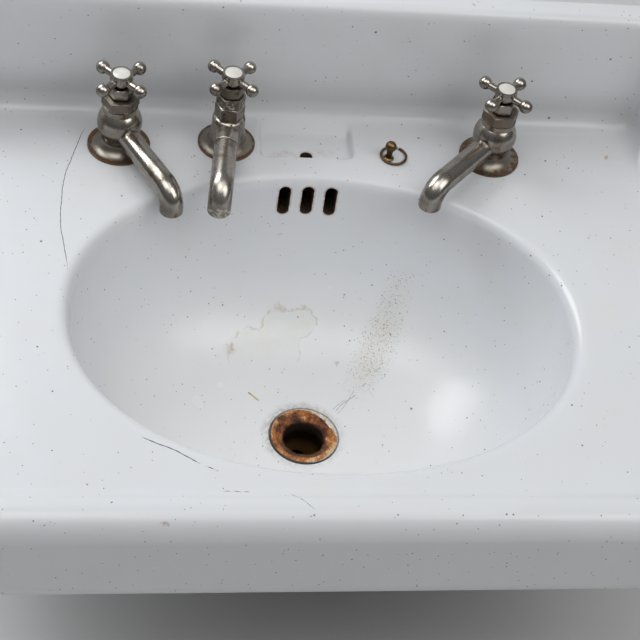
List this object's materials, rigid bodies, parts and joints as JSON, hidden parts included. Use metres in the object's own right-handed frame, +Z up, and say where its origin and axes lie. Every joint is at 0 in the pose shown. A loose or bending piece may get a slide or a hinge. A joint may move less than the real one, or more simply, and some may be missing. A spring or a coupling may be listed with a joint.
{
  "type": "wash basin",
  "caption": "Enamelled cast iron wall basin with an oval bowl, rolled rim, raised back, soap recess, three pillar taps, chain stay, overflow and waste.",
  "frame": {"origin": "on the wall face of the raised back, at the height of the flat deck, midway across", "axes": "+X to the right seen from the front, +Y into the wall, +Z up; the front of the basin faces -Y"},
  "size_m": [0.66, 0.476, 0.43],
  "materials": {
    "enamel": "white vitreous enamel on cast iron, worn dull, with fine cracks and stains",
    "worn_plating": "nickel plate on brass, worn and dull",
    "brass": "dull brass",
    "copper_pipe": "dull copper pipe",
    "bronze": "dark brown patina",
    "rusted_waste": "limescaled flange with a rust-stained seat",
    "putty": "set putty",
    "rubber": "black rubber",
    "packing": "greased yarn",
    "china": "glazed white",
    "cast_iron": "bare black iron",
    "steel": "dull zinc",
    "lead_pipe": "dull brass tube"
  },
  "bodies": {
    "root": {"basin": "enamel", "chain_stay_nut": "bronze", "chain_stay_post": "bronze", "left_tap_backnut": "brass", "left_tap_body": "worn_plating", "left_tap_bonnet": "worn_plating", "left_tap_flange": "worn_plating", "left_tap_gasket": "rubber", "left_tap_gland_nut": "worn_plating", "left_tap_packing": "packing", "left_tap_supply_tail": "copper_pipe", "left_tap_union_nut": "brass", "middle_tap_backnut": "brass", "middle_tap_body": "worn_plating", "middle_tap_bonnet": "worn_plating", "middle_tap_flange": "worn_plating", "middle_tap_gasket": "rubber", "middle_tap_gland_nut": "worn_plating", "middle_tap_packing": "packing", "middle_tap_supply_tail": "copper_pipe", "middle_tap_union_nut": "brass", "overflow_bolts": "steel", "overflow_casing": "cast_iron", "overflow_gasket": "rubber", "overflow_pipe": "lead_pipe", "right_tap_backnut": "brass", "right_tap_body": "worn_plating", "right_tap_bonnet": "worn_plating", "right_tap_flange": "worn_plating", "right_tap_gasket": "rubber", "right_tap_gland_nut": "worn_plating", "right_tap_packing": "packing", "right_tap_supply_tail": "copper_pipe", "right_tap_union_nut": "brass", "waste_backnut": "brass", "waste_body": "rusted_waste", "waste_friction_plate": "brass", "waste_putty": "putty", "waste_tail": "brass", "waste_washer": "rubber"},
    "left_valve": {"left_tap_jumper": "brass", "left_tap_washer": "rubber"},
    "left_handle": {"left_tap_button": "china", "left_tap_handle": "worn_plating", "left_tap_handle_screw": "brass", "left_tap_spindle": "brass"},
    "middle_valve": {"middle_tap_jumper": "brass", "middle_tap_washer": "rubber"},
    "middle_handle": {"middle_tap_button": "china", "middle_tap_handle": "worn_plating", "middle_tap_handle_screw": "brass", "middle_tap_spindle": "brass"},
    "right_valve": {"right_tap_jumper": "brass", "right_tap_washer": "rubber"},
    "right_handle": {"right_tap_button": "china", "right_tap_handle": "worn_plating", "right_tap_handle_screw": "brass", "right_tap_spindle": "brass"},
    "chain_ring": {"chain_stay_ring": "bronze"}
  },
  "joints": [
    {"name": "left_valve_lift", "type": "slide", "parent": "root", "child": "left_valve", "axis": [0, 0, 1], "range_m": [0, 0.0045]},
    {"name": "left_handle_turn", "type": "hinge", "parent": "left_valve", "child": "left_handle", "pos_m": [-0.1645, -0.073, 0.07], "axis": [0, 0, 1], "range_deg": [0, 540]},
    {"name": "middle_valve_lift", "type": "slide", "parent": "root", "child": "middle_valve", "axis": [0, 0, 1], "range_m": [0, 0.0045]},
    {"name": "middle_handle_turn", "type": "hinge", "parent": "middle_valve", "child": "middle_handle", "pos_m": [-0.071, -0.066, 0.07], "axis": [0, 0, 1], "range_deg": [0, 540]},
    {"name": "right_valve_lift", "type": "slide", "parent": "root", "child": "right_valve", "axis": [0, 0, 1], "range_m": [0, 0.0045]},
    {"name": "right_handle_turn", "type": "hinge", "parent": "right_valve", "child": "right_handle", "pos_m": [0.1645, -0.073, 0.07], "axis": [0, 0, 1], "range_deg": [0, 540]},
    {"name": "chain_ring_swivel", "type": "hinge", "parent": "root", "child": "chain_ring", "pos_m": [0.0725, -0.079, 0.0015], "axis": [0, 0, 1], "continuous": true}
  ],
  "couplings": [
    {"joint": "left_valve_lift", "follows": "left_handle_turn", "m_per_rad": 0.00047746},
    {"joint": "middle_valve_lift", "follows": "middle_handle_turn", "m_per_rad": 0.00047746},
    {"joint": "right_valve_lift", "follows": "right_handle_turn", "m_per_rad": 0.00047746}
  ]
}
